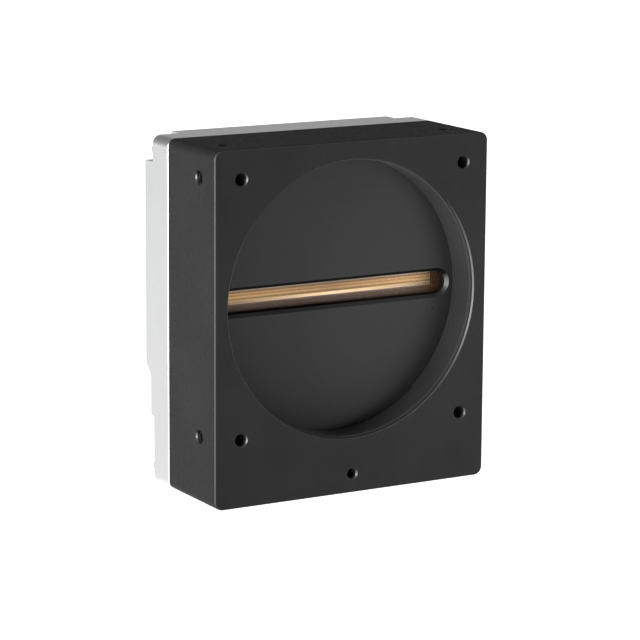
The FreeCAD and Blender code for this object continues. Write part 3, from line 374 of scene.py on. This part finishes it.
def sensor_face():
    """Polished silicon with the light-sensitive line low on it and the readout circuits above in bands, with
    painted light and shade along its length and a painted glint on the line.
    """
    material, tree, bsdf = shader("silicon")
    lo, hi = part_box("sensor_die")
    spot_on_die = parts_of(tree, place(tree))
    up = between(tree, spot_on_die["Z"], 0.0, 1.0, lo.z, hi.z)

    def at(millimetres):
        """A height above the lens axis as a share of the die's height."""
        return (millimetres * 1e-3 - lo.z) / (hi.z - lo.z)

    bands = [
        (0.05, (0.800, 0.512, 0.255)), (0.25, (0.330, 0.195, 0.072)), (0.7, (0.350, 0.205, 0.076)),
        (0.95, (0.620, 0.372, 0.170)), (1.4, (0.640, 0.381, 0.170)), (1.62, (0.380, 0.205, 0.068)),
        (1.8, (0.380, 0.205, 0.068)), (2.05, (0.550, 0.326, 0.153)), (2.45, (0.530, 0.316, 0.145)),
        (2.7, (0.235, 0.126, 0.051)), (2.95, (0.235, 0.126, 0.051)), (3.15, (0.330, 0.251, 0.178)),
        (3.45, (0.330, 0.251, 0.178)), (3.62, (0.300, 0.177, 0.076)), (4.6, (0.450, 0.270, 0.119)),
        (5.5, (0.340, 0.195, 0.076)),
    ]
    circuits = shades(tree, up, [(max(0.0, min(1.0, at(spot))), tint) for spot, tint in bands])
    line_edges = [(-1.0, (0.0,) * 3), (-0.86, (1.0,) * 3), (-0.1, (1.0,) * 3), (0.05, (0.0,) * 3)]
    on_line = shades(tree, up, [(at(spot), tint) for spot, tint in line_edges])
    across = size_of(tree, spot_on_die["X"])
    # Painted light: the die is brighter towards its left end.
    painted_light_along = between(tree, spot_on_die["X"], 0.285, 0.240, lo.x, hi.x)
    # Painted shade: the circuits are darker towards the middle of the die.
    painted_shade_middle = between(tree, across, 0.66, 1.0, 0.0, 0.030)
    streaks = between(tree, grain(tree, 1.0, 0.0, (30.0, 1.0, 5200.0)), 0.92, 1.06)
    circuits = scaled(tree, circuits, times(tree, times(tree, painted_light_along, painted_shade_middle), streaks))
    # Painted glint: the light-sensitive line is brighter towards the middle of the die.
    painted_glint = between(tree, across, 0.34, 0.125, 0.002, 0.036)
    tone = blend(tree, on_line, circuits, scaled(tree, (0.82, 0.57, 0.34), painted_glint))
    # Both ends of the die darken over their last 0.7 mm.
    darker_ends = between(tree, across, 1.0, 0.12, hi.x - 0.0007, hi.x - 0.0003)
    tree.links.new(scaled(tree, tone, darker_ends), bsdf.inputs["Base Color"])
    bsdf.inputs["Metallic"].default_value = 0.85
    tree.links.new(between(tree, grain(tree, 300.0), 0.395, 0.405), bsdf.inputs["Roughness"])
    return material


def plain_finishes(slots):
    """The finishes that need only a grain and slight patches, for the slots that are named."""
    recipes = {
        "plain_aluminium": ((0.55, 0.56, 0.57), 0.34, 1.0),
        "seal_rubber": ((0.02, 0.02, 0.02), 0.72, 0.0),
        "die_attach": ((0.06, 0.022, 0.006), 0.5, 0.0),
        "thermal_pad": ((0.32, 0.36, 0.42), 0.80, 0.0),
        "chip_plastic": ((0.03, 0.03, 0.032), 0.55, 0.0),
        "connector_plastic": ((0.05, 0.05, 0.05), 0.48, 0.0),
        "insulator_white": ((0.75, 0.74, 0.70), 0.35, 0.0),
        "insulator_black": ((0.03, 0.03, 0.03), 0.38, 0.0),
        "lamp_white": ((0.80, 0.78, 0.60), 0.30, 0.0),
    }
    return {slot: surface(slot, *recipes[slot])[0] for slot in slots}


def finish_nodes(materials):
    """Gives every CAD node its finish where there is one for its slot."""
    done = 0
    for name, slot in SLOT_OF_NODE.items():
        if slot in materials:
            for holder in frame["nodes"][name].material_slots:
                holder.material = materials[slot]
                done += 1
    if not done:
        raise RuntimeError(f"No piece takes a finish from {sorted(materials)}")


# ---- meshes ----


def add_piece(name, bm, material):
    """Makes a piece of a bmesh, with its normals outwards and its sharp edges kept."""
    bmesh.ops.remove_doubles(bm, verts=bm.verts, dist=SAME_POINT)
    bmesh.ops.recalc_face_normals(bm, faces=bm.faces)
    mesh = bpy.data.meshes.new(name)
    bm.to_mesh(mesh)
    bm.free()
    mesh.shade_smooth()
    mesh.set_sharp_from_angle(angle=SHARP_ANGLE)
    mesh.materials.append(material)
    piece = bpy.data.objects.new(name, mesh)
    bpy.context.scene.collection.objects.link(piece)
    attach(piece, "root")


def profile_face(bm, corners):
    """A face through (radius, depth) corners, in the plane of X and the axis of the turning, which is Y."""
    return bm.faces.new([bm.verts.new((radius, depth, 0.0)) for radius, depth in corners])


def turn(bm, face, steps, turns=1.0, pitch=0.0):
    """Turns a face about Y, climbing by a pitch each turn. One turn with no pitch closes on itself."""
    count = int(round(steps * turns))
    closed = pitch == 0.0
    bmesh.ops.spin(
        bm, geom=[face, *face.edges, *face.verts], cent=(0, 0, 0), axis=(0, 1, 0),
        dvec=(0, pitch / steps, 0), angle=math.tau * turns, steps=count, use_merge=closed,
        use_duplicate=False,
    )


def thread_ridge(bm, wall, crest, start, end, pitch, steps):
    """A helical ridge on the wall of a round hole, with a flat crest and sloping flanks."""
    half_crest, half_foot = 0.125 * pitch, 0.4375 * pitch
    middle = start + half_foot
    corners = [
        (wall, middle - half_foot), (crest, middle - half_crest), (crest, middle + half_crest),
        (wall, middle + half_foot),
    ]
    turns = (end - start - 2.0 * half_foot) / pitch
    turn(bm, profile_face(bm, corners), steps, turns, pitch)


def place_geometry(bm, first_new, matrix):
    """Moves the vertices that were made since first_new."""
    bm.verts.ensure_lookup_table()
    bmesh.ops.transform(bm, matrix=matrix, verts=bm.verts[first_new:])


# ---- operators ----


class CAMERA_OT_front_block(bpy.types.Operator):
    """Black anodised front block"""

    bl_idname = "camera.finish_front_block"
    bl_label = "Front block"

    def execute(self, context):
        colours = context.scene.camera_colours
        black = black_anodising("housing_black", colours.black_roughness, worn_edges=True)
        finish_nodes({"housing_black": black})
        return {"FINISHED"}


class CAMERA_OT_lens_thread(bpy.types.Operator):
    """Thread that the lens mount screws into, with its start chamfer"""

    bl_idname = "camera.cut_lens_thread"
    bl_label = "Lens thread"

    def execute(self, context):
        sizes = context.scene.camera_threads
        bm = bmesh.new()
        wall = sizes.bore_radius + LENS_THREAD_SUNK
        lead = sizes.lens_start + (sizes.bore_radius - sizes.crest_radius)
        flat_end, foot = lead + 0.2 * sizes.lens_pitch, lead + 0.5 * sizes.lens_pitch
        corners = [
            (wall, sizes.lens_start), (sizes.bore_radius, sizes.lens_start),
            (sizes.crest_radius, lead), (sizes.crest_radius, flat_end), (wall, foot),
        ]
        turn(bm, profile_face(bm, corners), sizes.lens_steps)
        thread_ridge(bm, wall, sizes.crest_radius, lead, sizes.lens_end, sizes.lens_pitch, sizes.lens_steps)
        material = black_anodising("thread_black", 0.50, 2.3, gloss=0.05, depth=6e-7)
        add_piece("lens_thread", bm, material)
        return {"FINISHED"}


class CAMERA_OT_hole_threads(bpy.types.Operator):
    """Threads in the mounting holes"""

    bl_idname = "camera.cut_hole_threads"
    bl_label = "Hole threads"

    def execute(self, context):
        sizes = context.scene.camera_threads
        lo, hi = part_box("front_housing")
        quarter = math.pi / 2
        into_front = Matrix.Identity(4)
        into_left, into_right = Matrix.Rotation(-quarter, 4, "Z"), Matrix.Rotation(quarter, 4, "Z")
        downwards, upwards = Matrix.Rotation(-quarter, 4, "X"), Matrix.Rotation(quarter, 4, "X")
        holes = []
        for up in (-HOLE_UP, HOLE_UP):
            for side in (-1, 1):
                holes.append(((side * CORNER_HOLE_ACROSS, 0.0, up), into_front, CORNER_HOLE_LENGTH))
            holes.append(((lo.x, SIDE_HOLE_DEEP, up), into_left, SIDE_HOLE_LENGTH))
            holes.append(((hi.x, SIDE_HOLE_DEEP, up), into_right, SIDE_HOLE_LENGTH))
        for side in (-1, 1):
            across = side * TOP_HOLE_ACROSS
            holes.append(((across, SIDE_HOLE_DEEP, hi.z), downwards, SIDE_HOLE_LENGTH))
            holes.append(((across, SIDE_HOLE_DEEP, lo.z), upwards, SIDE_HOLE_LENGTH))
        rows = [(*hole, *COARSE_THREAD) for hole in holes]
        rows.append((LOWER_HOLE, into_front, LOWER_HOLE_LENGTH, *FINE_THREAD))
        bm = bmesh.new()
        for spot, facing, depth, radius, pitch in rows:
            first_new = len(bm.verts)
            wall, crest = radius + HOLE_THREAD_SUNK, radius - sizes.hole_ridge
            thread_ridge(bm, wall, crest, HOLE_START, depth, pitch, sizes.hole_steps)
            place_geometry(bm, first_new, Matrix.Translation(Vector(spot)) @ facing)
        material = black_anodising("hole_thread_black", 0.55, 0.8, gloss=0.12, depth=6e-7)
        add_piece("mount_hole_threads", bm, material)
        return {"FINISHED"}


class CAMERA_OT_sensor(bpy.types.Operator):
    """Line sensor in its ceramic package, under its cover glass"""

    bl_idname = "camera.finish_sensor"
    bl_label = "Sensor"

    def execute(self, context):
        colours = context.scene.camera_colours
        made = plain_finishes(("die_attach", "seal_rubber", "thermal_pad"))
        made["ceramic"] = self.package(tuple(colours.ceramic))
        made["cover_glass"] = self.glass()
        made["silicon"] = sensor_face()
        finish_nodes(made)
        return {"FINISHED"}

    def package(self, plain):
        """Dark ceramic, brown close to the die: partly the package's own brown and partly a painted
        reflection of the die's warm colour.
        """
        ceramic, tree, bsdf = surface("ceramic", plain, 0.46, spread=0.14, patch=180.0)
        bsdf.inputs["Specular IOR Level"].default_value = 0.15
        spot = parts_of(tree, place(tree))
        lo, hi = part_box("die_film")
        past_ends = between(tree, size_of(tree, spot["X"]), 0.0, 1.0, hi.x, hi.x + 0.004)
        below = between(tree, spot["Z"], 1.0, 0.0, lo.z - 0.0035, lo.z)
        away = add(tree, "ShaderNodeMath", {0: past_ends, 1: below}, operation="MAXIMUM").outputs["Value"]
        # Brown within 4 mm past the die's ends and down to 3.5 mm below it, partly the package's own brown
        # and partly a painted reflection of the die; plain ceramic further away.
        tone = shades(tree, away, [(0.0, (0.080, 0.037, 0.013)), (1.0, plain)])
        tree.links.new(tone, bsdf.inputs["Base Color"])
        return ceramic

    def glass(self):
        """Cover glass that is nearly invisible."""
        glass, _, clear = shader("cover_glass")
        clear.inputs["Base Color"].default_value = (0.22, 0.18, 0.13, 1.0)
        clear.inputs["Roughness"].default_value = 0.08
        clear.inputs["Alpha"].default_value = 0.003
        clear.inputs["IOR"].default_value = 1.5
        return glass


class CAMERA_OT_boards(bpy.types.Operator):
    """Circuit boards, chips, pillars and the heat spreader"""

    bl_idname = "camera.finish_boards"
    bl_label = "Boards"

    def execute(self, context):
        made = plain_finishes(("plain_aluminium", "chip_plastic", "connector_plastic", "lamp_white"))
        made["circuit_board"] = solder_mask()
        made["brass_pillar"] = turned_metal("brass_pillar", (0.62, 0.60, 0.55), 0.28)
        finish_nodes(made)
        return {"FINISHED"}


class CAMERA_OT_sockets(bpy.types.Operator):
    """Coaxial sockets, power socket and status light"""

    bl_idname = "camera.finish_sockets"
    bl_label = "Sockets"

    def execute(self, context):
        made = plain_finishes(("insulator_white", "insulator_black"))
        made["nickel"] = turned_metal("nickel", (0.62, 0.60, 0.56), 0.22)
        made["gold_contact"] = turned_metal("gold_contact", (0.78, 0.54, 0.20), 0.20)
        pipe, _, clear = surface(
            "light_pipe", (0.85, 0.88, 0.88), 0.12, spread=0.02, depth=5e-7, rough_by=0.03
        )
        clear.inputs["Alpha"].default_value = 0.55
        made["light_pipe"] = pipe
        finish_nodes(made)
        return {"FINISHED"}


class CAMERA_OT_rear_shell(bpy.types.Operator):
    """Bead-blasted rear shell and its screws"""

    bl_idname = "camera.finish_rear_shell"
    bl_label = "Rear shell"

    def execute(self, context):
        made = {
            "shell_aluminium": clear_anodising(),
            "screw_steel": turned_metal("screw_steel", (0.48, 0.48, 0.49), 0.26),
        }
        finish_nodes(made)
        return {"FINISHED"}


class CAMERA_OT_studio(bpy.types.Operator):
    """Pale floor, soft sky, two lights and the camera"""

    bl_idname = "camera.set_up_studio"
    bl_label = "Studio"

    def execute(self, context):
        studio = context.scene.camera_studio
        lo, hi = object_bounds()
        self.lay_floor(studio, lo.z)
        self.hang_sky(context, studio)
        self.add_light("strip_light", studio.strip_radiance, *STRIP_LIGHT)
        self.add_light("fill_light", studio.fill_radiance, *FILL_LIGHT)
        self.add_camera(context, studio, (lo.z + hi.z) / 2.0)
        return {"FINISHED"}

    def lay_floor(self, studio, level):
        """A round pale floor just under the camera body."""
        bm = bmesh.new()
        bmesh.ops.create_circle(bm, cap_ends=True, radius=FLOOR_RADIUS, segments=96)
        bmesh.ops.translate(bm, vec=(0, 0, level - FLOOR_GAP), verts=bm.verts)
        mesh = bpy.data.meshes.new("floor")
        bm.to_mesh(mesh)
        bm.free()
        material, tree, bsdf = shader("floor")
        tone = shades(tree, grain(tree, 2.0), [(0.0, (0.66, 0.66, 0.66)), (1.0, (0.70, 0.70, 0.70))])
        tree.links.new(tone, bsdf.inputs["Base Color"])
        bsdf.inputs["Roughness"].default_value = 0.9
        bsdf.inputs["Emission Color"].default_value = (1, 1, 1, 1)
        bsdf.inputs["Emission Strength"].default_value = studio.floor_glow
        material.cycles.emission_sampling = "NONE"
        mesh.materials.append(material)
        floor = bpy.data.objects.new("floor", mesh)
        bpy.context.scene.collection.objects.link(floor)
        floor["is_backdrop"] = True

    def hang_sky(self, context, studio):
        """A soft sky, bright near level and dark overhead, and plain white where the camera sees it."""
        world = bpy.data.worlds.new("studio")
        context.scene.world = world
        world.use_nodes = True
        tree = world.node_tree
        seen = tree.nodes["Background"]
        seen.inputs["Color"].default_value = (1, 1, 1, 1)
        facing = parts_of(tree, add(tree, "ShaderNodeTexCoord").outputs["Generated"])
        glow = between(tree, facing["Z"], studio.sky_low, studio.sky_high, 0.0, 0.9)
        glow = times(tree, glow, between(tree, facing["Y"], studio.sky_ahead, 1.0, -0.3, 0.3))
        soft = add(tree, "ShaderNodeBackground", {"Color": (1, 1, 1, 1), "Strength": glow})
        direct = add(tree, "ShaderNodeLightPath").outputs["Is Camera Ray"]
        mixed = add(tree, "ShaderNodeMixShader", {0: direct})
        tree.links.new(soft.outputs[0], mixed.inputs[1])
        tree.links.new(seen.outputs[0], mixed.inputs[2])
        tree.links.new(mixed.outputs[0], tree.nodes["World Output"].inputs["Surface"])

    def add_light(self, name, radiance, spot, size):
        """A rectangle of light that points at the origin and that the camera doesn't see."""
        lamp = bpy.data.lights.new(name, "AREA")
        lamp.shape = "RECTANGLE"
        lamp.size, lamp.size_y = size
        lamp.energy = radiance * math.pi * size[0] * size[1]
        holder = bpy.data.objects.new(name, lamp)
        holder.location = spot
        holder.rotation_euler = (-Vector(spot)).to_track_quat("-Z", "Y").to_euler()
        holder.visible_camera = False
        bpy.context.scene.collection.objects.link(holder)

    def add_camera(self, context, studio, middle):
        """The scene's camera, turned about the body's middle."""
        az, el = studio.azimuth, studio.elevation
        back = Vector((math.sin(az) * math.cos(el), -math.cos(az) * math.cos(el), math.sin(el)))
        right = (-back).cross(Vector((0, 0, 1))).normalized()
        up = right.cross(-back)
        turned = Matrix.Rotation(-studio.roll, 3, -back)
        right, up = turned @ right, turned @ up
        spot = right * studio.target_right + up * studio.target_up + back * studio.distance
        spot.z += middle
        lens = bpy.data.cameras.new("camera")
        lens.lens = studio.lens
        lens.sensor_width = 36.0
        lens.clip_end = 50.0
        holder = bpy.data.objects.new("camera", lens)
        holder.matrix_world = Matrix.Translation(spot) @ Matrix((right, up, back)).transposed().to_4x4()
        context.scene.collection.objects.link(holder)
        context.scene.camera = holder
        context.scene.view_settings.view_transform = "Standard"


class CAMERA_PT_finishes(bpy.types.Panel):
    """Panel with every step"""

    bl_label = "Camera finishes"
    bl_space_type = "VIEW_3D"
    bl_region_type = "UI"
    bl_category = "Camera finishes"

    def draw(self, context):
        for step in STEPS:
            self.layout.operator(step.bl_idname)
        for name in GROUPS:
            group = getattr(context.scene, name)
            box = self.layout.box()
            for key in group.__annotations__:
                box.prop(group, key)


GROUPS = {"camera_threads": ThreadSizes, "camera_colours": FinishColours, "camera_studio": StudioSettings}
STEPS = (
    CAMERA_OT_front_block, CAMERA_OT_lens_thread, CAMERA_OT_hole_threads, CAMERA_OT_sensor, CAMERA_OT_boards,
    CAMERA_OT_sockets, CAMERA_OT_rear_shell, CAMERA_OT_studio,
)


def register():
    for kind in (*GROUPS.values(), *STEPS, CAMERA_PT_finishes):
        bpy.utils.register_class(kind)
    for key, kind in GROUPS.items():
        setattr(bpy.types.Scene, key, PointerProperty(type=kind))


def unregister():
    for key in GROUPS:
        delattr(bpy.types.Scene, key)
    for kind in reversed((*GROUPS.values(), *STEPS, CAMERA_PT_finishes)):
        bpy.utils.unregister_class(kind)


def main():
    register()
    for step in STEPS:
        group, name = step.bl_idname.split(".")
        getattr(getattr(bpy.ops, group), name)()


if __name__ == "__main__":
    main()
